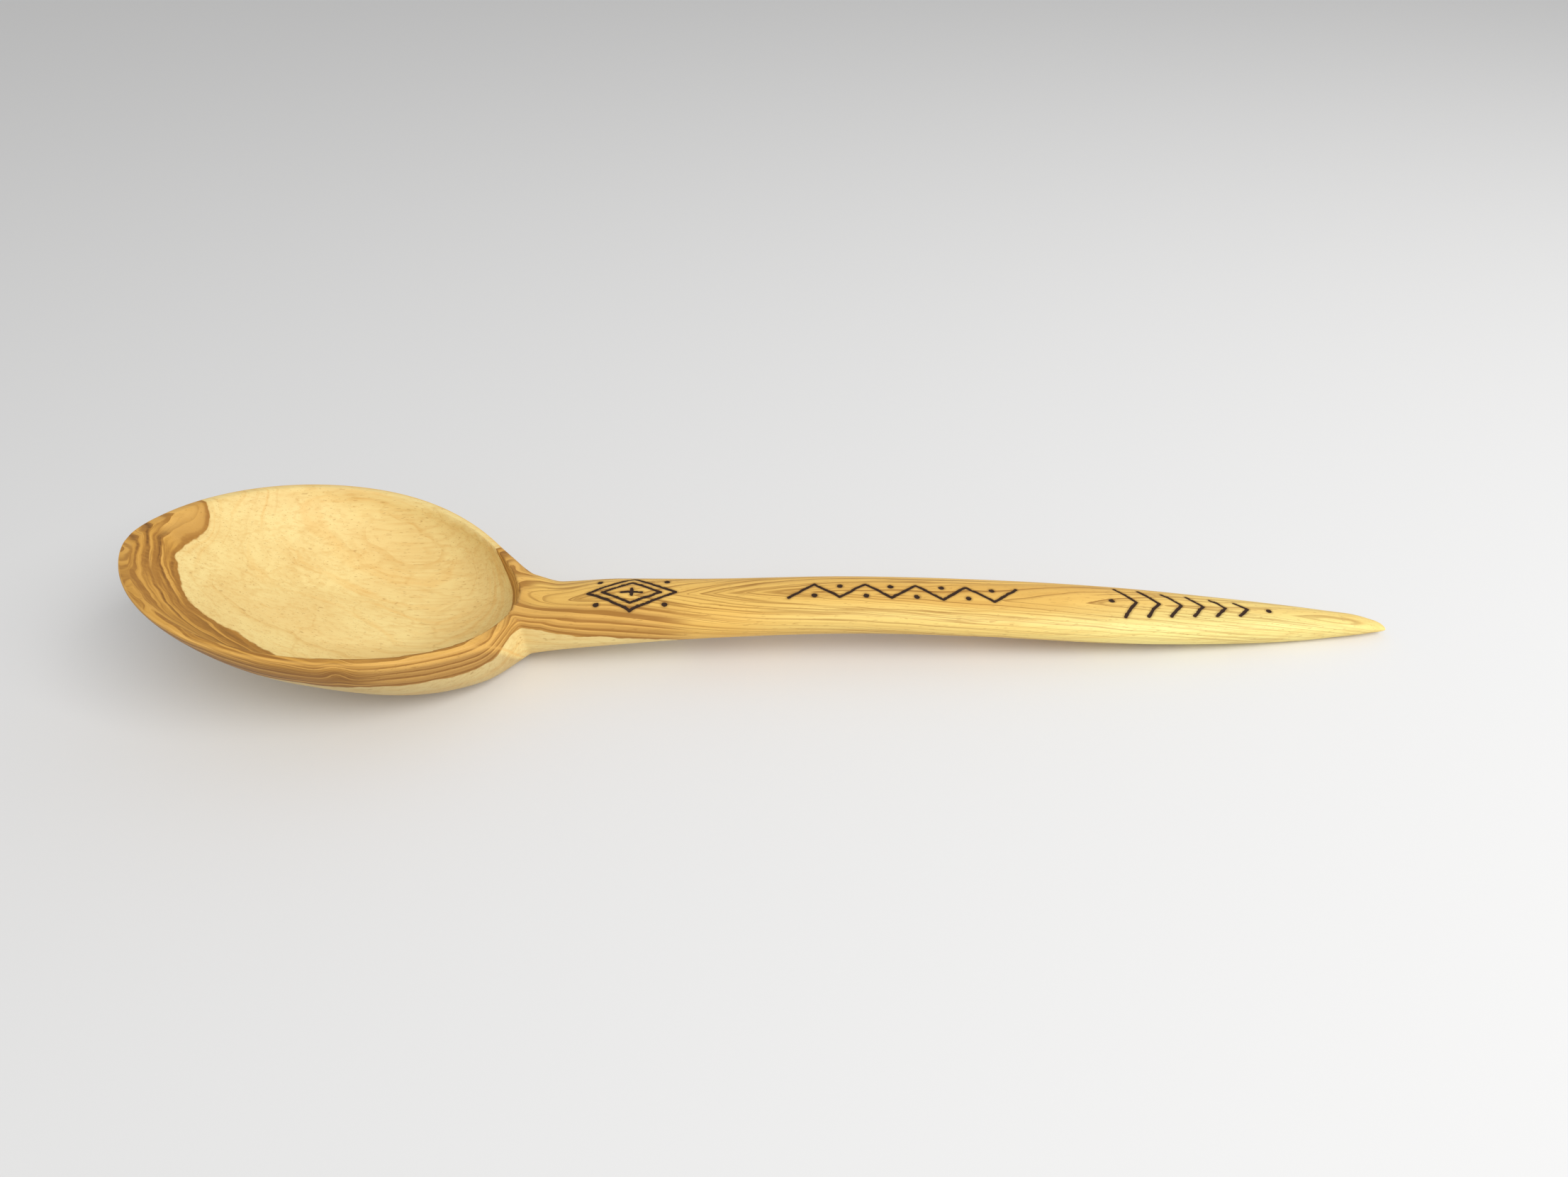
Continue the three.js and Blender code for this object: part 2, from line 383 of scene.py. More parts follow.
class Carving:
    """The spoon's surface in millimetres, as heights over stations along the spoon and places across it."""

    # The underside of the bowl and the small flat that it rests on.
    UNDERSIDE_REACH = 77.0
    UNDERSIDE_POWER = 1.9
    FLAT_CUT = 0.35
    TIP_FULLNESS = 1.6
    FULLER_AT_WIDEST = 0.35
    FULLER_AT_NECK = 0.6
    HANDLE_FULLNESS = 2.2

    # The almond outline and the rim.
    TIP_BLUNTNESS = 0.565
    REAR_BEND = 2.1
    MOST_ROUNDING = 0.45
    TIP_CREST = 0.4
    RIM_SQUARENESS = 4.0

    # The hollow: where it lies, how its ends rise, and how its edge is rounded.
    HOLLOW_START = 2.4
    NECK_LAND = 2.0
    DEEPEST_AT = 56.0
    FRONT_RISE = 1.15
    REAR_RISE = 0.6
    SIDE_STEEPENING = 0.5
    RISE_OUTSIDE = 1.3
    INNER_ROUNDING = 0.8
    LEAST_ROUNDING = 0.05
    ROUNDING_REACH = 6.0
    HOLLOW_GONE = 6.0
    LEAST_WALL = 0.25

    # The handle's sections and its tip.
    EDGE_SHARE = 0.56
    DOME_POWER = 2.4
    TIP_ROUNDING = 11.0
    TIP_HEIGHT = 1.4

    # Where the bowl's outside ends, and a depth that counts as well inside.
    OUTSIDE_ENDS = (84.0, 100.0)
    WELL_INSIDE = -9.0

    def __init__(self, shape):
        for name in SpoonShape.__annotations__:
            setattr(self, name, getattr(shape, name) / MM)
        self.half_bowl = self.bowl_width / 2.0
        self.hollow_end = self.bowl_length - self.NECK_LAND

    def along_handle(self, at, column):
        """A smooth curve through one column of the handle sections, level beyond its ends."""
        shares = HANDLE_SECTIONS[:, 0]
        values = HANDLE_SECTIONS[:, column]
        share = np.clip((at - self.bowl_length) / (self.length - self.bowl_length), shares[0], shares[-1])
        slopes = np.empty_like(values)
        slopes[1:-1] = (values[2:] - values[:-2]) / (shares[2:] - shares[:-2])
        slopes[0] = (values[1] - values[0]) / (shares[1] - shares[0])
        slopes[-1] = (values[-1] - values[-2]) / (shares[-1] - shares[-2])
        here = np.clip(np.searchsorted(shares, share, side="right") - 1, 0, len(shares) - 2)
        after = here + 1
        span = shares[after] - shares[here]
        t = (share - shares[here]) / span
        start = (2.0 * t**3 - 3.0 * t**2 + 1.0) * values[here]
        start += (t**3 - 2.0 * t**2 + t) * slopes[here] * span
        end = (3.0 * t**2 - 2.0 * t**3) * values[after] + (t**3 - t**2) * slopes[after] * span
        return start + end

    def almond(self, at, half, start, end, rear):
        """Half the width of an almond outline, widest at one place and closed at both ends."""
        front = np.clip((self.widest_at - at) / (self.widest_at - start), 0.0, 1.0)
        back = np.clip((at - self.widest_at) / (end - self.widest_at), 0.0, 1.0)
        before = (1.0 - front**2) ** self.TIP_BLUNTNESS
        after = (1.0 - back**self.REAR_BEND) ** rear
        return half * np.where(at < self.widest_at, before, after)

    def tip_share(self, at):
        """What is left of a section where the handle's tip is rounded off, from 1 to 0."""
        past = np.maximum(at - (self.length - self.TIP_ROUNDING), 0.0) / self.TIP_ROUNDING
        return np.sqrt(np.maximum(1.0 - past**2, 0.0))

    def half_width(self, at, side):
        """From the middle to one side's edge: the bowl joined to the handle."""
        rear, fillet, _, _ = side
        bowl = self.almond(at, self.half_bowl, 0.0, self.bowl_length, rear)
        joined = smooth_max(bowl, self.along_handle(at, 1), fillet)
        return np.where(at < self.widest_at, bowl, joined) * self.tip_share(at)

    def lean(self, at):
        """How far a section of the bowl is shifted to the far side."""
        return self.tip_lean * np.maximum(1.0 - at / self.widest_at, 0.0) ** 2

    def rim(self, at):
        """Height of the rim's crest."""
        share = at / self.bowl_length
        bow = 4.0 * self.rim_bow * np.maximum(share * (1.0 - share), 0.0)
        return self.rim_at_tip + (self.rim_at_neck - self.rim_at_tip) * share + bow

    def under(self, at):
        """Height of the lowest line of the underside, below zero where the flat cuts it off."""
        share = np.maximum(1.0 - at / self.UNDERSIDE_REACH, 0.0)
        bowl = (self.rim_at_tip + self.FLAT_CUT) * share**self.UNDERSIDE_POWER - self.FLAT_CUT
        return np.where(at < self.UNDERSIDE_REACH, bowl, self.along_handle(at, 3))

    def blend(self, at, side):
        """How far one side has turned from the bowl's form into the handle's, from 0 to 1."""
        _, _, before, past = side
        return smooth_step(at, self.bowl_length - before, self.bowl_length + past)

    def levels(self, at, side):
        """Heights of one side's edge, the crown and the underside of each section."""
        blend = self.blend(at, side)
        middle = self.blend(at, NEAR_SIDE)
        rim = self.rim(at)
        top = self.along_handle(at, 2)
        under = self.under(at)
        round_here = np.minimum(self.rim_round, self.MOST_ROUNDING * (rim - under))
        handle_edge = under + (top - under) * self.EDGE_SHARE
        edge = (rim - round_here) * (1.0 - blend) + handle_edge * blend
        crown = rim * (1.0 - middle) + top * middle
        share = self.tip_share(at)
        return [self.TIP_HEIGHT + (height - self.TIP_HEIGHT) * share for height in (edge, crown, under)]

    def fullness(self, at):
        """How full the underside's sections are: 2 is an ellipse, more is squarer."""
        front = self.TIP_FULLNESS + self.FULLER_AT_WIDEST * smooth_step(at, 0.0, self.widest_at)
        bowl = front + self.FULLER_AT_NECK * smooth_step(at, self.widest_at, self.bowl_length)
        return bowl + (self.HANDLE_FULLNESS - bowl) * self.blend(at, NEAR_SIDE)

    def hollow(self, at, across):
        """Height of the hollow's floor, carried on upward outside its edge."""
        front = np.clip((self.DEEPEST_AT - at) / (self.DEEPEST_AT - self.HOLLOW_START), 0.0, 1.0)
        back = np.clip((at - self.DEEPEST_AT) / (self.hollow_end - self.DEEPEST_AT), 0.0, 1.0)
        deepest = self.rim(self.DEEPEST_AT) - self.under(self.DEEPEST_AT) - self.floor_thickness
        ahead = (1.0 - front**2) ** self.FRONT_RISE
        behind = (1.0 - back**2) ** self.REAR_RISE
        depth = deepest * np.where(at < self.DEEPEST_AT, ahead, behind)
        half_inside = self.half_bowl - self.rim_width
        far = self.almond(at, half_inside, self.HOLLOW_START, self.hollow_end, FAR_SIDE[0])
        near = self.almond(at, half_inside, self.HOLLOW_START, self.hollow_end, NEAR_SIDE[0])
        half = np.where(across > 0.0, far, near)
        slope = 1.0 - self.SIDE_STEEPENING * smooth_step(at, self.HOLLOW_START, self.DEEPEST_AT)
        inside = np.maximum(1.0 - (across / np.maximum(half, 1e-6)) ** 2, 0.0) ** slope
        beyond = np.maximum(np.abs(across) - half, 0.0)
        beyond += np.maximum(self.HOLLOW_START - at, 0.0) + np.maximum(at - self.hollow_end, 0.0)
        return self.rim(at) - depth * inside + self.RISE_OUTSIDE * beyond

    def ring(self, at):
        """Places across and heights of one section's points, once round from the far edge over the top."""
        far, near = [self.half_width(at, side)[:, None] for side in (FAR_SIDE, NEAR_SIDE)]
        far_edge, crown, under = [level[:, None] for level in self.levels(at, FAR_SIDE)]
        near_edge = self.levels(at, NEAR_SIDE)[0][:, None]
        far_blend, near_blend = [self.blend(at, side)[:, None] for side in (FAR_SIDE, NEAR_SIDE)]
        fullness = self.fullness(at)[:, None]
        turn = np.cos(np.linspace(0.0, np.pi, TOP_SPANS + 1))[None, :]
        across = np.where(turn > 0.0, far, near) * turn
        edge = np.where(turn > 0.0, far_edge, near_edge)
        blend = np.where(turn > 0.0, far_blend, near_blend)
        power = self.DOME_POWER + self.RIM_SQUARENESS * (1.0 - blend)
        dome = edge + (crown - edge) * (1.0 - np.abs(turn) ** power) ** (1.0 / power)
        hollow = self.hollow(at[:, None], across)
        rounding = np.clip(at[:, None] / self.ROUNDING_REACH, self.LEAST_ROUNDING, 1.0)
        top = smooth_min(dome, hollow, self.INNER_ROUNDING * rounding)
        past_hollow = at[:, None] > self.bowl_length + self.HOLLOW_GONE
        top = np.where(past_hollow, dome, np.minimum(top, dome))
        top = np.maximum(top, under + self.LEAST_WALL * np.sqrt(1.0 - turn**2) * (edge - under))
        low_angle = np.linspace(np.pi, 2.0 * np.pi, UNDER_SPANS + 1)[None, 1:-1]
        sideways = np.cos(low_angle)
        downward = np.abs(np.sin(low_angle))
        low_across = np.where(sideways > 0.0, far, -near) * np.abs(sideways) ** (2.0 / fullness)
        low_edge = np.where(sideways > 0.0, far_edge, near_edge)
        low = low_edge - (low_edge - under) * downward ** (2.0 / fullness)
        places = np.hstack([across, low_across]) + self.lean(at)[:, None]
        return places, np.maximum(np.hstack([top, low]), 0.0)

    def stations(self):
        """Places along the spoon at which it is cut into sections."""
        places = []
        start = 0.0
        for end, step in STATION_STEPS:
            count = max(int(round((end - start) / step)), 1)
            places.append(start + (end - start) * np.arange(1, count + 1) / count)
            start = end
        return np.concatenate(places) * self.length / LAID_OUT_LENGTH

    def skin(self):
        """Vertices and faces of the closed surface, in millimetres, with the poles last."""
        at = self.stations()
        across, heights = self.ring(at)
        count = across.shape[1]
        along = np.repeat(at[:, None] - self.length / 2.0, count, axis=1)
        points = np.stack([along, across, heights], axis=2).reshape(-1, 3)
        bowl_tip = (-self.length / 2.0, self.tip_lean, self.rim_at_tip - self.TIP_CREST * self.rim_round)
        handle_tip = (self.length / 2.0, 0.0, self.TIP_HEIGHT)
        points = np.vstack([points, bowl_tip, handle_tip])
        here = np.arange(count)
        beside = (here + 1) % count
        row = np.arange(len(at) - 1)[:, None] * count
        next_row = row + count
        quads = np.stack([row + here, row + beside, next_row + beside, next_row + here], axis=2)
        quads = quads.reshape(-1, 4)
        first = np.full(count, len(points) - 2)
        last = np.full(count, len(points) - 1)
        end_row = (len(at) - 1) * count
        start_fan = np.stack([first, beside, here], axis=1)
        end_fan = np.stack([last, end_row + here, end_row + beside], axis=1)
        return points, quads, np.vstack([start_fan, end_fan])

    def below_rim(self, points):
        """How far each point lies below the rim outside the bowl; inside the edge, less than nothing."""
        at = points[:, 0] + self.length / 2.0
        across = points[:, 1] - self.lean(at)
        half = np.where(across > 0.0, self.half_width(at, FAR_SIDE), self.half_width(at, NEAR_SIDE))
        outside = np.arange(len(points)) % (TOP_SPANS + UNDER_SPANS) > TOP_SPANS
        edge = np.where(across > 0.0, self.levels(at, FAR_SIDE)[0], self.levels(at, NEAR_SIDE)[0])
        below = np.where(outside, edge - points[:, 2], np.abs(across) - half)
        past_bowl = smooth_step(at, *self.OUTSIDE_ENDS)
        return np.maximum(below, self.WELL_INSIDE) * (1.0 - past_bowl) + self.WELL_INSIDE * past_bowl


class Grain:
    """Where the heartwood lies in the carving, in millimetres from the bowl's tip, across and up."""

    # The trough of sapwood in the bowl: its line, its rise to the tip, and the curve of its two sides.
    TROUGH_AT = -16.0
    TROUGH_FLOOR = 12.4
    RISE_AT_TIP = 18.6
    RISE_REACH = 36.0
    RISE_POWER = 2.2
    NEAR_CURVE = 0.016
    FAR_CURVE = 0.0034
    STEEPER_PAST_TIP = (0.0066, 9.0, 28.0)
    FLATTER_AT_NECK = (0.006, 80.0, 91.0)
    TONGUE = (1.6, (12.5, 12.0), (4.0, 5.0))
    NOTCH = (2.6, (12.4, 22.4), (3.2, 3.2))

    # How far under the handle's crown the boundary lies, and how its sides curl up.
    INTO_HANDLE = (88.5, 94.0)
    NECK_DEPTH = 7.6
    DEEPER_PAST_NECK = (1.7, 90.0, 110.0)
    DEEPER_IN_SHAFT = (3.5, 98.0, 165.0)
    SLOPE = 0.032
    SLOPE_START = 120.0
    CURL = 0.051
    LESS_CURL = (0.031, 98.0, 120.0)
    CURL_LIMIT = 70.0
    MORE_AT_NECK = 40.0
    MORE_AROUND = (97.0, 5.0)

    # The ridge along the handle that makes the flames.
    RIDGE_AT = -1.6
    RIDGE_WAVE = 19.0
    RIDGE_HEIGHT = 1.5
    RIDGE_REACH = 4.0
    RIDGE_STARTS = (96.0, 108.0)

    # The knot in the near rim.
    KNOT_PLACE = (59.3, -34.5, 23.5)
    KNOT_REACH = (2.6, 5.0, 3.2)
    KNOT_PUSH = 1.9

    # Where the heartwood pales, and by how much. The paling on the front is painted light on the handle's
    # near side, and the paling toward the handle's tip is partly the wood's own and partly painted
    # highlight.
    ONTO_TOP = (-14.0, -7.0)
    ALL_ROUND = (100.0, 125.0)
    NECK_PALES = (0.46, 84.0, 99.0)
    TIP_PALES_AND_HIGHLIGHT = (0.36, 205.0, 290.0)
    RIM_PALES = (0.16, 55.0, 75.0)
    RIM_ENDS = (88.0, 98.0)
    NEAR_EDGE = (3.5, 6.5)
    NEAR_EDGE_ENDS = (125.0, 175.0)
    NEAR_EDGE_LOSES = 0.5
    FRONT_PAINTED_LIGHT = (0.32, -1.0, 8.5)
    FRONT_STARTS = (110.0, 160.0)
    PALE_PATCH = (0.3, (9.0, 15.0), (6.0, 8.0))

    def __init__(self, carving):
        self.carving = carving

    def boundary(self, at, across):
        """Height of the surface under which the wood is sapwood: a trough that dips below the handle."""
        from_tip = np.maximum(at, 0.0) / self.RISE_REACH
        trough = self.TROUGH_FLOOR + self.RISE_AT_TIP * np.exp(-(from_tip**self.RISE_POWER))
        far_curve = self.FAR_CURVE + rise(at, *self.STEEPER_PAST_TIP) - rise(at, *self.FLATTER_AT_NECK)
        aside = across - self.TROUGH_AT
        tongue = hill(at, across, *self.TONGUE)
        notch = hill(at, across, *self.NOTCH)
        bowl = trough + np.where(aside > 0.0, far_curve, self.NEAR_CURVE) * aside**2 - tongue + notch
        depth = self.NECK_DEPTH + rise(at, *self.DEEPER_PAST_NECK) + rise(at, *self.DEEPER_IN_SHAFT)
        depth += self.SLOPE * np.maximum(at - self.SLOPE_START, 0.0)
        curl = self.CURL - rise(at, *self.LESS_CURL)
        middle, reach = self.MORE_AROUND
        limit = self.CURL_LIMIT + self.MORE_AT_NECK * np.exp(-(((at - middle) / reach) ** 2))
        crown = self.carving.levels(at, NEAR_SIDE)[1]
        from_ridge = np.abs(across - self.RIDGE_AT - np.sin(at / self.RIDGE_WAVE))
        ridge = self.RIDGE_HEIGHT * (1.0 - np.exp(-from_ridge / self.RIDGE_REACH))
        ridge = ridge * smooth_step(at, *self.RIDGE_STARTS)
        handle = crown - depth + curl * np.minimum(across**2, limit) + ridge
        return bowl + (handle - bowl) * smooth_step(at, *self.INTO_HANDLE)

    def growth(self, at, across, height):
        """Height above the boundary, pushed about by a small knot in the near rim."""
        from_knot = 0.0
        for value, middle, reach in zip((at, across, height), self.KNOT_PLACE, self.KNOT_REACH):
            from_knot = from_knot + ((value - middle) / reach) ** 2
        return height - self.boundary(at, across) - self.KNOT_PUSH * np.exp(-from_knot)

    def fade(self, at, across):
        """How far the heartwood pales along handle and rim and in a patch at the tip, with painted light on
        the front and partly painted highlight toward the handle's tip.
        """
        onto_top = np.maximum(smooth_step(across, *self.ONTO_TOP), smooth_step(at, *self.ALL_ROUND))
        near_edge = smooth_step(-across, *self.NEAR_EDGE)
        near_edge = near_edge * (1.0 - smooth_step(at, *self.NEAR_EDGE_ENDS))
        along = rise(at, *self.NECK_PALES) * onto_top * (1.0 - self.NEAR_EDGE_LOSES * near_edge)
        # Toward the handle's tip: partly the wood's own paling, partly painted highlight.
        along += rise(at, *self.TIP_PALES_AND_HIGHLIGHT)
        rim = rise(at, *self.RIM_PALES) * (1.0 - smooth_step(at, *self.RIM_ENDS))
        along += rim * (1.0 - onto_top)
        # Painted light: the handle's near side is made paler, as if lit from the front.
        front = rise(-across, *self.FRONT_PAINTED_LIGHT) * smooth_step(at, *self.FRONT_STARTS)
        patch = hill(at, across, *self.PALE_PATCH)
        return np.clip(along + front + patch, 0.0, 1.0)


class Ornament:
    """Burnt strokes on the handle's top, in millimetres along and across, a little unsteady as by hand."""

    # How the pen moves.
    PEN_STEP = 1.6
    PEN_WAVER = 0.09
    DOT_RADIUS = 0.75
    DOT_LENGTH = 0.05
    DOT_WAVER = 0.08
    STROKE_REACH = 6.0

    # Half lengths and half widths of the lozenges, arms of the cross in them, and places of the dots.
    LOZENGES = ((11.2, 6.3), (7.4, 4.0))
    CROSS = (2.6, 1.5)
    CORNER_DOTS = (8.6, 4.6)

    # Teeth of the zigzag, and where its corners and its dots lie across, in turn.
    TEETH = 9
    TOOTH_CORNERS = (-2.9, 2.3)
    TOOTH_DOTS = (1.6, -2.2)

    # The row of chevrons, each smaller than the one before, and a dot before and after it.
    CHEVRONS = 6
    CHEVRON_PITCH = 6.2
    CHEVRON_WIDTH = 5.6
    CHEVRON_NARROWING = 0.62
    CHEVRON_DEPTH = 4.4
    CHEVRON_SHORTENING = 0.3
    DOT_BEFORE = 2.2
    DOT_AFTER = 39.5

    def __init__(self, sizes, scale):
        self.half_line = sizes.line_width / MM / 2.0
        self.hand = np.random.default_rng(11)
        self.strokes = []
        self.lozenge(sizes.lozenge_at / MM * scale)
        self.zigzag(sizes.zigzag_start / MM * scale, sizes.zigzag_end / MM * scale)
        self.chevrons(sizes.chevrons_at / MM * scale)

    def stroke(self, corners):
        """One pass of the pen through a row of corners."""
        corners = np.array(corners, dtype=float)
        points = [corners[0]]
        for start, end in zip(corners[:-1], corners[1:]):
            count = max(int(np.hypot(*(end - start)) / self.PEN_STEP), 1)
            points.extend(start + (end - start) * (i + 1) / count for i in range(count))
        points = np.array(points) + self.hand.normal(0.0, self.PEN_WAVER, (len(points), 2))
        self.strokes.append((points, self.half_line))

    def dot(self, at, across):
        """One touch of the pen."""
        place = np.array([(at, across), (at + self.DOT_LENGTH, across)])
        self.strokes.append((place + self.hand.normal(0.0, self.DOT_WAVER, 2), self.DOT_RADIUS))

    def lozenge(self, middle):
        """Two nested lozenges round a small cross, with a dot at each corner."""
        for length, width in self.LOZENGES:
            corners = [(-length, 0.0), (0.0, width), (length, 0.0), (0.0, -width), (-length, 0.0)]
            self.stroke([(middle + along, across) for along, across in corners])
        long_arm, short_arm = self.CROSS
        self.stroke([(middle - long_arm, 0.0), (middle + long_arm, 0.0)])
        self.stroke([(middle, -short_arm), (middle, short_arm)])
        dot_along, dot_across = self.CORNER_DOTS
        for along in (-dot_along, dot_along):
            for across in (-dot_across, dot_across):
                self.dot(middle + along, across)

    def zigzag(self, start, end):
        """A zigzag with a dot in each of its corners."""
        step = (end - start) / self.TEETH
        self.stroke([(start + step * i, self.TOOTH_CORNERS[i % 2]) for i in range(self.TEETH + 1)])
        for i in range(1, self.TEETH):
            self.dot(start + step * i, self.TOOTH_DOTS[i % 2])

    def chevrons(self, start):
        """A row of chevrons that point to the handle's tip."""
        for i in range(self.CHEVRONS):
            at = start + self.CHEVRON_PITCH * i
            width = self.CHEVRON_WIDTH - self.CHEVRON_NARROWING * i
            point = at + self.CHEVRON_DEPTH - self.CHEVRON_SHORTENING * i
            self.stroke([(at, width), (point, 0.0), (at, -width)])
        self.dot(start - self.DOT_BEFORE, 0.0)
        self.dot(start + self.DOT_AFTER, 0.0)

    def distance(self, places):
        """Distance from each place to the edge of the nearest stroke, less than nothing inside it."""
        nearest = np.full(len(places), UNBURNT)
        for points, half_width in self.strokes:
            for start, end in zip(points[:-1], points[1:]):
                near = np.abs(places[:, 0] - (start[0] + end[0]) / 2.0) < self.STROKE_REACH
                span = end - start
                offset = places[near] - start
                share = np.clip(offset @ span / max(span @ span, 1e-9), 0.0, 1.0)
                gap = np.hypot(*(offset - share[:, None] * span).T) - half_width
                nearest[near] = np.minimum(nearest[near], gap)
        return nearest


class Nodes:
    """Short names for the shader nodes that the wood is made of."""

    def __init__(self, tree):
        self.tree = tree

    def plug(self, socket, value):
        if isinstance(value, bpy.types.NodeSocket):
            self.tree.links.new(value, socket)
        else:
            socket.default_value = value

    def add(self, kind, **settings):
        node = self.tree.nodes.new(kind)
        for name, value in settings.items():
            setattr(node, name, value)
        return node

    def math(self, operation, first, second=0.0, third=0.0):
        node = self.add("ShaderNodeMath", operation=operation)
        for socket, value in zip(node.inputs, (first, second, third)):
            self.plug(socket, value)
        return node.outputs[0]

    def plus(self, first, second):
        return self.math("ADD", first, second)

    def minus(self, first, second):
        return self.math("SUBTRACT", first, second)

    def times(self, first, second):
        return self.math("MULTIPLY", first, second)

    def apart(self, first, second):
        """How far two values lie apart."""
        return self.math("ABSOLUTE", self.minus(first, second))

    def noise(self, vector, detail=2.0, roughness=0.5):
        node = self.add("ShaderNodeTexNoise")
        node.inputs["Scale"].default_value = 1.0
        node.inputs["Detail"].default_value = detail
        node.inputs["Roughness"].default_value = roughness
        self.plug(node.inputs["Vector"], vector)
        return node.outputs["Fac"]

    def around(self, value, amount):
        """Noise turned into a shift that goes both ways."""
        return self.times(self.minus(value, 0.5), amount)

    def step(self, value, start, end, low=0.0, high=1.0):
        node = self.add("ShaderNodeMapRange", interpolation_type="SMOOTHSTEP")
        for name, setting in (("From Min", start), ("From Max", end), ("To Min", low), ("To Max", high)):
            node.inputs[name].default_value = setting
        self.plug(node.inputs["Value"], value)
        return node.outputs["Result"]

    def fall(self, value, start, end, height=1.0):
        """A smooth step down to nothing."""
        return self.step(value, start, end, low=height, high=0.0)

    def mix(self, factor, first, second, blend="MIX"):
        node = self.add("ShaderNodeMix", data_type="RGBA", blend_type=blend)
        self.plug(node.inputs["Factor"], factor)
        self.plug(node.inputs["A"], first)
        self.plug(node.inputs["B"], second)
        return next(socket for socket in node.outputs if socket.type == "RGBA" and socket.enabled)

    def ramp(self, value, stops):
        node = self.add("ShaderNodeValToRGB")
        elements = node.color_ramp.elements
        while len(elements) < len(stops):
            elements.new(0.5)
        for element, (place, colour) in zip(elements, stops):
            element.position = place
            element.color = colour
        self.plug(node.inputs["Fac"], value)
        return node.outputs["Color"]

    def attribute(self, name):
        return self.add("ShaderNodeAttribute", attribute_name=name).outputs["Fac"]


def solid(colour):
    return (*colour, 1.0)


class OliveWood(Nodes):
    """Olive wood: pale sapwood, ringed heartwood, a sharp boundary, fibres, pores and charred lines."""

    # Cells of each noise in a millimetre along the spoon, across it, and up or through the layers.
    DRIFT_CELLS = (0.022, 0.05, 0.06)
    RIPPLE_CELLS = (0.07, 0.13, 0.13)
    UNEVEN_CELLS = (0.008, 0.02, 0.4)
    STREAK_CELLS = (0.014, 0.05, 1.7)
    BROAD_CELLS = (0.006, 0.03, 0.6)
    THIN_CELLS = (0.01, 0.03, 0.9)
    CLOUD_CELLS = (0.045, 0.07, 0.07)
    FAINT_CELLS = (0.02, 0.03, 0.8)
    SMUDGE_CELLS = (0.035, 0.09, 0.12)
    JAG_CELLS = (0.12, 0.13, 0.13)
    FIBRE_CELLS = (0.05, 1.3, 1.3)
    PORE_CELLS = (0.4, 3.6, 3.6)
    FLECK_CELLS = (0.3, 0.75, 0.75)
    WAVER_CELLS = (0.9, 0.9, 0.9)
    DULL_CELLS = (0.12, 0.3, 0.3)

    # Rings in a millimetre, the seed of their tones, and how far noises shift layers, rings, edge and char.
    RINGS = 0.98
    RING_SEED = 17.0
    DRIFT = 3.4
    RIPPLE = 1.6
    UNEVEN = 3.2
    JAG = 2.4
    WAVER = 0.5

    # Tone of the heartwood: its least, what a ring, the place in it and streaks add, and where colours lie.
    LEAST_TONE = 0.16
    OWN_TONE = 0.32
    RING_TONE = 0.44
    STREAK_TONE = 1.2
    TONES = (0.12, 0.44, 0.68, 1.0)

    # Finish.
    DULLING = 0.16
    CHAR_DULLING = 0.3
    SPECULAR = 0.28
    RELIEF = 0.25
    RELIEF_DEPTH = 0.0001

    def __init__(self, wood):
        self.wood = wood
        self.dark = solid(wood.heart_dark)
        self.brown = solid(wood.heart_brown)
        self.gold = solid(wood.heart_gold)
        self.light = solid(wood.light_heart_and_highlight)
        self.material = bpy.data.materials.new("olive wood")
        self.material.use_nodes = True
        super().__init__(self.material.node_tree)
        split = self.add("ShaderNodeSeparateXYZ")
        self.plug(split.inputs[0], self.add("ShaderNodeTexCoord").outputs["Object"])
        self.place = [self.times(socket, 1.0 / MM) for socket in split.outputs]
        self.growth = self.attribute(GROWTH)
        self.fade = self.attribute(FADE_AND_PAINTED_LIGHT)
        self.burn = self.attribute(BURN)
        self.below_rim = self.attribute(BELOW_RIM)
        self.grow()
        heart = self.heartwood()
        self.finish(self.marks_and_painted_light(self.join(self.sapwood(), heart)))

    def grain(self, cells, up=None, **settings):
        """Noise in cells that are long with the wood."""
        x, y, z = self.place
        upward = z if up is None else up
        place = self.add("ShaderNodeCombineXYZ")
        for socket, value, count in zip(place.inputs, (x, y, upward), cells):
            self.plug(socket, self.times(value, count))
        return self.noise(place.outputs[0], **settings)

    def grow(self):
        """Layers of growth, bent slowly along the spoon and rippled, and the uneven rings in them."""
        calm = self.step(self.fade, 0.0, 0.3, low=1.0, high=0.35)
        self.drift = self.times(self.around(self.grain(self.DRIFT_CELLS), self.DRIFT), calm)
        ripple = self.times(self.around(self.grain(self.RIPPLE_CELLS), self.RIPPLE), calm)
        self.layer = self.plus(self.growth, self.plus(self.drift, ripple))
        uneven = self.around(self.grain(self.UNEVEN_CELLS, self.layer, detail=1.0), self.UNEVEN)
        self.turns = self.plus(self.times(self.layer, self.RINGS), uneven)
        self.across_ring = self.math("FRACT", self.turns)
        random = self.add("ShaderNodeTexWhiteNoise", noise_dimensions="1D")
        self.plug(random.inputs["W"], self.plus(self.math("FLOOR", self.turns), self.RING_SEED))
        self.own_tone = random.outputs["Value"]

    def ringed(self):
        """Rings that each lighten away from their start, streaked, and darker next to the boundary."""
        streak = self.grain(self.STREAK_CELLS, self.layer, detail=3.0, roughness=0.6)
        tone = self.math("MULTIPLY_ADD", self.own_tone, self.OWN_TONE, self.LEAST_TONE)
        tone = self.plus(tone, self.times(self.step(self.across_ring, -0.1, 0.85), self.RING_TONE))
        tone = self.plus(tone, self.around(streak, self.STREAK_TONE))
        first_rings = self.step(self.growth, 0.5, 4.5, low=0.2, high=-0.05)
        first_rings = self.times(first_rings, self.fall(self.fade, 0.0, 0.15))
        tone = self.minus(tone, first_rings)
        return self.ramp(tone, list(zip(self.TONES, (self.dark, self.brown, self.gold, self.light))))

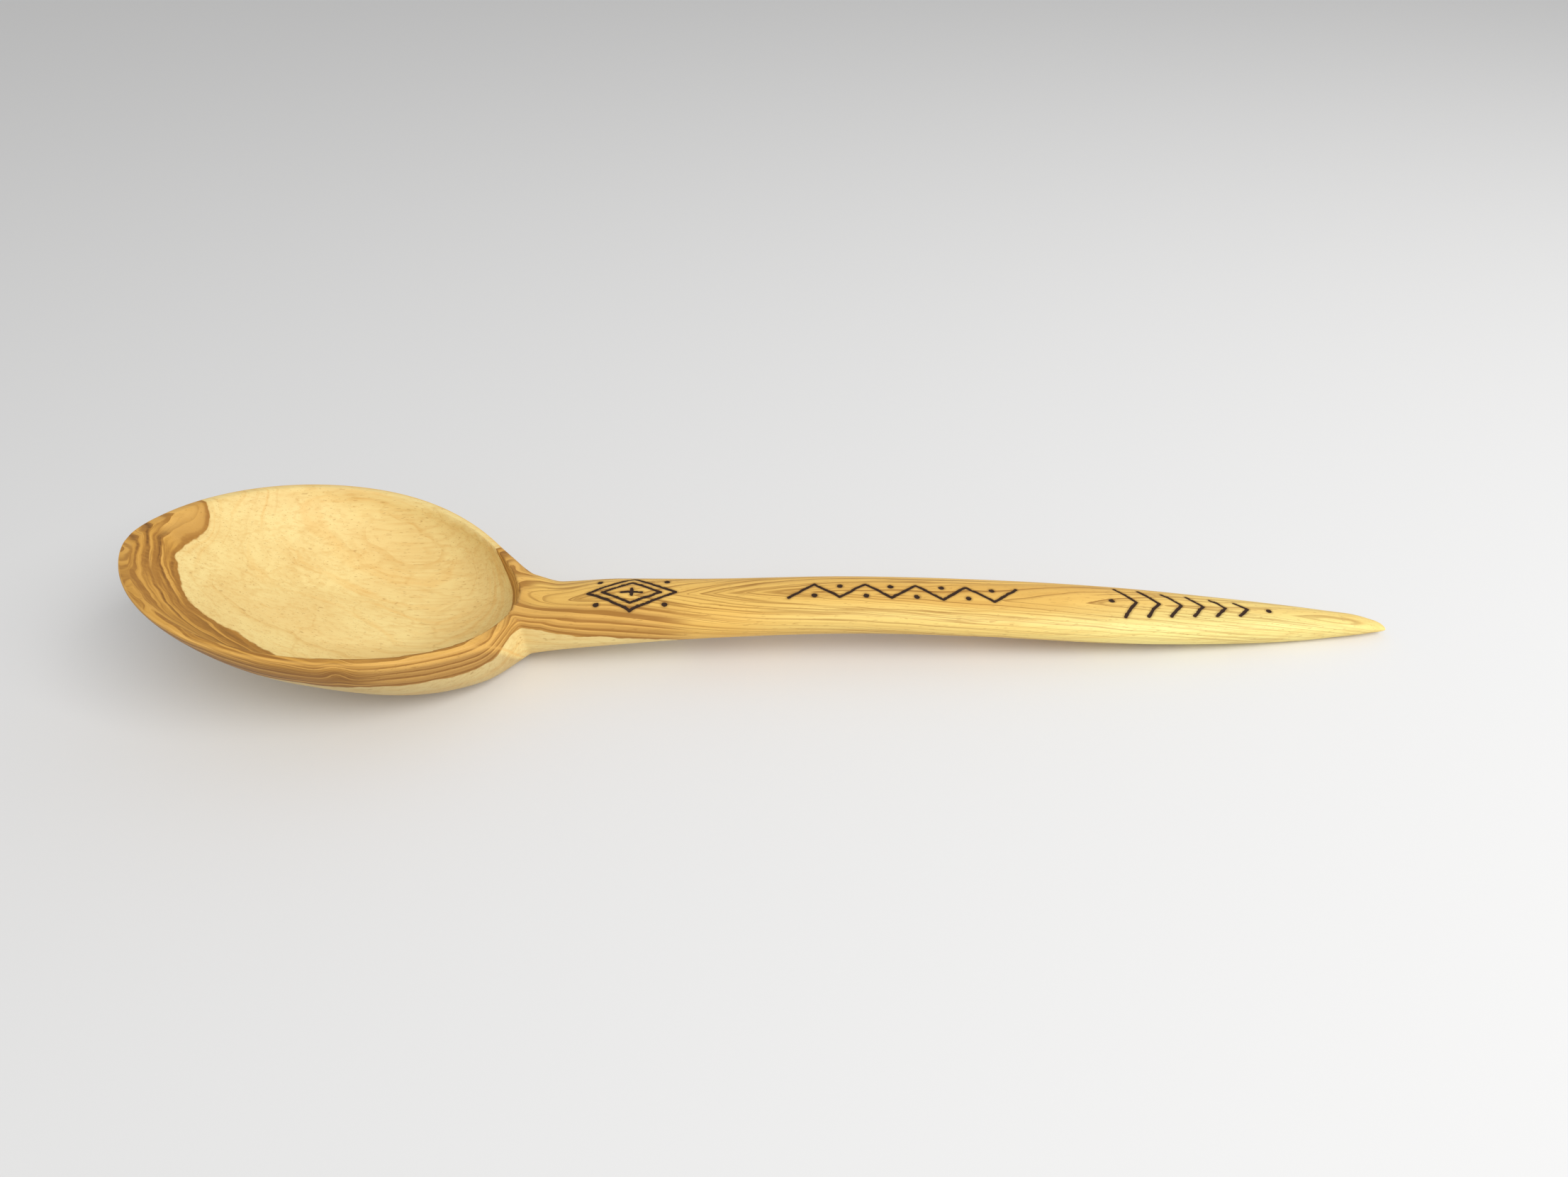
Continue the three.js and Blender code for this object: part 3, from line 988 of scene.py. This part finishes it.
    def heartwood(self):
        """Rings that turn gold and then pale yellow along the handle, the pale yellow partly painted
        highlight and on the near side painted light, with bands and lines over them.
        """
        paleness = self.step(self.fade, 0.55, 1.05)
        shaft = self.mix(paleness, solid(self.wood.handle_gold), solid(self.wood.pale_handle_and_highlight))
        heart = self.mix(self.step(self.fade, 0.0, 0.5, high=0.92), self.ringed(), shaft)

        # Toward the neck they are lighter, with less of the fine lines.
        toward_neck = self.step(self.fade, 0.03, 0.15)
        toward_neck = self.times(toward_neck, self.fall(self.fade, 0.3, 0.46))
        heart = self.mix(self.times(toward_neck, 0.72), heart, self.light)
        fine = self.minus(1.0, self.times(toward_neck, 0.8))

        # Broad golden bands and thin brown lines.
        broad = self.step(self.grain(self.BROAD_CELLS, self.layer), 0.47, 0.66, high=0.45)
        broad = self.times(broad, self.step(self.fade, 0.05, 0.4))
        broad = self.times(broad, self.step(self.fade, 0.5, 1.0, low=1.0, high=0.3))
        heart = self.mix(broad, heart, self.gold)
        thin = self.apart(self.grain(self.THIN_CELLS, self.layer), 0.5)
        thin = self.fall(thin, 0.004, 0.034, 0.85)
        thin = self.times(thin, self.minus(1.0, self.times(self.fade, 0.5)))
        heart = self.mix(self.times(thin, fine), heart, self.brown)

        # A soft and a crisp line where a ring starts.
        soft = self.fall(self.across_ring, 0.0, 0.3, 0.85)
        soft = self.times(soft, self.step(self.own_tone, 0.2, 1.0, low=1.0, high=0.1))
        soft = self.times(soft, self.step(self.fade, 0.3, 1.0, low=1.0, high=0.3))
        heart = self.mix(self.times(soft, fine), heart, self.brown)
        crisp = self.math("FRACT", self.times(self.own_tone, 5.3))
        crisp = self.step(crisp, 0.1, 0.9, low=0.4, high=1.0)
        crisp = self.times(crisp, self.fall(self.across_ring, 0.03, 0.14))
        crisp = self.times(crisp, self.step(self.fade, 0.5, 1.0, low=1.0, high=0.35))
        heart = self.mix(self.times(crisp, fine), heart, self.brown)

        # Toward the neck the rings are wider, each with a bold line.
        across_wide = self.math("FRACT", self.times(self.turns, 0.5))
        late = self.times(toward_neck, self.fall(across_wide, 0.2, 0.95, 0.55))
        heart = self.mix(late, heart, self.brown)
        bold = self.times(toward_neck, self.fall(across_wide, 0.2, 0.38, 0.9))
        return self.mix(bold, heart, self.brown)

    def sapwood(self):
        """Slow cloudy mottling, faint layers, smudges and here and there the line of a ring."""
        cloud = self.grain(self.CLOUD_CELLS, detail=4.0, roughness=0.6)
        sap = self.mix(self.step(cloud, 0.36, 0.66), solid(self.wood.sap_pale), solid(self.wood.sap_deep))
        faint = self.step(self.grain(self.FAINT_CELLS, self.layer), 0.52, 0.72, high=0.35)
        sap = self.mix(faint, sap, self.light)
        smudge = self.apart(self.grain(self.SMUDGE_CELLS, detail=3.0), 0.5)
        sap = self.mix(self.fall(smudge, 0.002, 0.022, 0.17), sap, self.gold)
        contour = self.fall(self.across_ring, 0.0, 0.5, 0.26)
        contour = self.times(contour, self.step(cloud, 0.4, 0.6))
        contour = self.times(contour, self.step(self.own_tone, 0.5, 0.75))
        return self.mix(contour, sap, self.gold)

    def join(self, sap, heart):
        """Sapwood and heartwood at a clean boundary, with a darker seam on the heartwood's side."""
        jag = self.around(self.grain(self.JAG_CELLS, detail=3.0, roughness=0.55), self.JAG)
        edge = self.plus(self.growth, self.plus(jag, self.times(self.drift, 0.4)))
        colour = self.mix(self.step(edge, -0.08, 0.1), sap, heart)
        seam = self.fall(self.apart(edge, 0.3), 0.1, 0.5, 0.7)
        seam = self.times(seam, self.minus(1.0, self.times(self.fade, 0.9)))
        return self.mix(seam, colour, self.brown)

    def marks_and_painted_light(self, colour):
        """Fibres, pores and flecks everywhere, a painted highlight along the rim's crest and painted shade
        outside the bowl.
        """
        self.fibre = self.grain(self.FIBRE_CELLS)
        colour = self.mix(self.step(self.fibre, 0.42, 0.75, high=0.25), colour, self.gold)
        self.pore = self.grain(self.PORE_CELLS, detail=1.0)
        colour = self.mix(self.step(self.pore, 0.65, 0.73, high=0.42), colour, self.brown)
        fleck = self.grain(self.FLECK_CELLS, detail=1.0)
        colour = self.mix(self.step(fleck, 0.73, 0.79, high=0.42), colour, self.brown)
        # Painted highlight: a thin line along the rim's crest is lightened toward the light heartwood
        # colour, as where the crest catches the light.
        crest = self.apart(self.below_rim, -0.35)
        colour = self.mix(self.fall(crest, 0.1, 0.6, 0.45), colour, self.light)
        # Painted shade: the bowl's outer wall and underside are multiplied by the outside tint.
        outside = self.step(self.below_rim, 0.1, 2.0)
        return self.mix(outside, colour, solid(self.wood.outside), blend="MULTIPLY")

    def finish(self, colour):
        """Charred lines with a scorched margin, on a satin surface with a trace of relief."""
        shader = self.material.node_tree.nodes["Principled BSDF"]
        colour = self.mix(self.fall(self.burn, 0.0, 0.7, 0.4), colour, self.dark)
        waver = self.around(self.grain(self.WAVER_CELLS, detail=3.0), self.WAVER)
        charred = self.fall(self.plus(self.burn, waver), -0.08, 0.08)
        self.plug(shader.inputs["Base Color"], self.mix(charred, colour, solid(self.wood.char)))
        dull = self.around(self.grain(self.DULL_CELLS, detail=3.0), self.DULLING)
        rough = self.plus(self.plus(dull, self.wood.roughness), self.times(charred, self.CHAR_DULLING))
        self.plug(shader.inputs["Roughness"], rough)
        self.plug(shader.inputs["Specular IOR Level"], self.SPECULAR)
        bump = self.add("ShaderNodeBump")
        self.plug(bump.inputs["Strength"], self.RELIEF)
        self.plug(bump.inputs["Distance"], self.RELIEF_DEPTH)
        relief = self.minus(self.times(self.fibre, 0.5), self.step(self.pore, 0.62, 0.76))
        self.plug(bump.inputs["Height"], relief)
        self.plug(shader.inputs["Normal"], bump.outputs["Normal"])


def write_floats(mesh, name, values):
    attribute = mesh.attributes.get(name) or mesh.attributes.new(name, "FLOAT", "POINT")
    attribute.data.foreach_set("value", np.asarray(values, dtype=np.float32))


class SPOON_OT_carve(bpy.types.Operator):
    """Carve the spoon as one closed mesh that stands for its bowl, neck and handle"""

    bl_idname = "spoon.carve"
    bl_label = "Carve spoon"

    def execute(self, context):
        carving = Carving(context.scene.spoon_shape)
        points, quads, fans = carving.skin()
        mesh = bpy.data.meshes.new(SPOON)
        mesh.from_pydata((points * MM).tolist(), [], quads.tolist() + fans.tolist())
        mesh.polygons.foreach_set("use_smooth", np.ones(len(mesh.polygons), dtype=bool))
        mesh.update()
        at = points[:, 0] + carving.length / 2.0
        grain = Grain(carving)
        write_floats(mesh, GROWTH, grain.growth(at, points[:, 1], points[:, 2]))
        write_floats(mesh, FADE_AND_PAINTED_LIGHT, grain.fade(at, points[:, 1]))
        write_floats(mesh, BELOW_RIM, carving.below_rim(points))
        write_floats(mesh, BURN, np.full(len(points), UNBURNT))
        spoon = bpy.data.objects.new(SPOON, mesh)
        context.scene.collection.objects.link(spoon)
        mesh.materials.append(OliveWood(context.scene.spoon_wood).material)
        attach(spoon, BODY)
        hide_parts("bowl", "neck", "handle")
        return {"FINISHED"}


class SPOON_OT_burn(bpy.types.Operator):
    """Burn the ornament into the handle's top as shallow charred grooves"""

    bl_idname = "spoon.burn"
    bl_label = "Burn ornament"

    # How far up a normal points where the pen reaches, and where a groove's floor and its lip lie.
    FACING_UP = 0.2
    GROOVE = (-0.3, 0.1)

    def execute(self, context):
        sizes = context.scene.spoon_ornament
        length = context.scene.spoon_shape.length / MM
        mesh = bpy.data.objects[SPOON].data
        points = np.empty(len(mesh.vertices) * 3, dtype=np.float32)
        mesh.vertices.foreach_get("co", points)
        points = points.reshape(-1, 3)
        normals = np.empty(len(mesh.vertices) * 3, dtype=np.float32)
        mesh.vertices.foreach_get("normal", normals)
        facing_up = normals.reshape(-1, 3)[:, 2] > self.FACING_UP
        places = points[:, :2] / MM + (length / 2.0, 0.0)
        ornament = Ornament(sizes, length / LAID_OUT_LENGTH)
        distance = np.full(len(points), UNBURNT)
        distance[facing_up] = ornament.distance(places[facing_up].astype(float))
        points[:, 2] -= sizes.line_depth * (1.0 - smooth_step(distance, *self.GROOVE))
        mesh.vertices.foreach_set("co", points.ravel())
        mesh.update()
        write_floats(mesh, BURN, distance)
        return {"FINISHED"}


class SPOON_OT_studio(bpy.types.Operator):
    """Set up the pale floor, the soft light and the camera"""

    bl_idname = "spoon.studio"
    bl_label = "Set up studio"

    # Floor: half its side in metres, and its finish.
    FLOOR_REACH = 4.0
    FLOOR_ROUGHNESS = 0.9
    FLOOR_SPECULAR = 0.2

    # Soft box: its size and place in metres. It faces the middle of the floor.
    BOX_SIZE = (0.8, 0.6)
    BOX_PLACE = (0.62, -0.52, 0.78)

    # Camera: its place in millimetres, how far it looks down and is turned in degrees, its lens in pixels
    # of a picture so many pixels wide, and the nearest thing that it sees in metres.
    CAMERA_PLACE = (0.85, -204.7, 178.56)
    LOOKS_DOWN = 38.0
    TURNED = -1.0
    SENSOR_WIDTH = 36.0
    LENS_PIXELS = 1447.0
    PICTURE_PIXELS = 2212.0
    NEAREST_SEEN = 0.01

    def add_floor(self, scene):
        mesh = bpy.data.meshes.new("floor")
        reach = self.FLOOR_REACH
        corners = [(-reach, -reach, 0.0), (reach, -reach, 0.0), (reach, reach, 0.0), (-reach, reach, 0.0)]
        mesh.from_pydata(corners, [], [(0, 1, 2, 3)])
        floor = bpy.data.objects.new("floor", mesh)
        scene.collection.objects.link(floor)
        paper = bpy.data.materials.new("pale floor")
        paper.use_nodes = True
        shader = paper.node_tree.nodes["Principled BSDF"]
        shader.inputs["Base Color"].default_value = solid(scene.spoon_studio.floor)
        shader.inputs["Roughness"].default_value = self.FLOOR_ROUGHNESS
        shader.inputs["Specular IOR Level"].default_value = self.FLOOR_SPECULAR
        mesh.materials.append(paper)

    def add_light(self, scene):
        world = bpy.data.worlds.new("soft room")
        world.use_nodes = True
        background = world.node_tree.nodes["Background"]
        background.inputs["Color"].default_value = (1.0, 1.0, 1.0, 1.0)
        background.inputs["Strength"].default_value = scene.spoon_studio.room_light
        scene.world = world
        lamp = bpy.data.lights.new("soft box", "AREA")
        lamp.shape = "RECTANGLE"
        lamp.size, lamp.size_y = self.BOX_SIZE
        lamp.energy = scene.spoon_studio.soft_box_power
        soft_box = bpy.data.objects.new("soft box", lamp)
        place = Vector(self.BOX_PLACE)
        aim = (-place).to_track_quat("-Z", "Y").to_matrix().to_4x4()
        soft_box.matrix_world = Matrix.Translation(place) @ aim
        scene.collection.objects.link(soft_box)

    def add_camera(self, scene):
        lens = bpy.data.cameras.new("camera")
        lens.sensor_fit = "HORIZONTAL"
        lens.sensor_width = self.SENSOR_WIDTH
        lens.lens = self.SENSOR_WIDTH * self.LENS_PIXELS / self.PICTURE_PIXELS
        lens.clip_start = self.NEAREST_SEEN
        camera = bpy.data.objects.new("camera", lens)
        place = Matrix.Translation(Vector(self.CAMERA_PLACE) * MM)
        tilt = Matrix.Rotation(math.radians(90.0 - self.LOOKS_DOWN), 4, "X")
        roll = Matrix.Rotation(math.radians(self.TURNED), 4, "Z")
        camera.matrix_world = place @ tilt @ roll
        scene.collection.objects.link(camera)
        scene.camera = camera

    def execute(self, context):
        context.scene.view_settings.view_transform = "Standard"
        self.add_floor(context.scene)
        self.add_light(context.scene)
        self.add_camera(context.scene)
        return {"FINISHED"}


class SPOON_PT_panel(bpy.types.Panel):
    """Sizes and colours of the spoon, and the steps that make it"""

    bl_idname = "SPOON_PT_panel"
    bl_label = "Serving spoon"
    bl_space_type = "VIEW_3D"
    bl_region_type = "UI"
    bl_category = "Spoon"

    def draw(self, context):
        for pointer, group in GROUPS:
            column = self.layout.column()
            for name in group.__annotations__:
                column.prop(getattr(context.scene, pointer), name)
        for operator in OPERATORS:
            self.layout.operator(operator.bl_idname)


GROUPS = (
    ("spoon_shape", SpoonShape),
    ("spoon_wood", SpoonWood),
    ("spoon_ornament", SpoonOrnament),
    ("spoon_studio", SpoonStudio),
)
OPERATORS = (SPOON_OT_carve, SPOON_OT_burn, SPOON_OT_studio)
CLASSES = (*(group for _, group in GROUPS), *OPERATORS, SPOON_PT_panel)


def register():
    for cls in CLASSES:
        bpy.utils.register_class(cls)
    for pointer, group in GROUPS:
        setattr(bpy.types.Scene, pointer, bpy.props.PointerProperty(type=group))


def unregister():
    for pointer, _ in GROUPS:
        delattr(bpy.types.Scene, pointer)
    for cls in reversed(CLASSES):
        bpy.utils.unregister_class(cls)


def main():
    register()
    bpy.ops.spoon.carve()
    bpy.ops.spoon.burn()
    bpy.ops.spoon.studio()


if __name__ == "__main__":
    main()
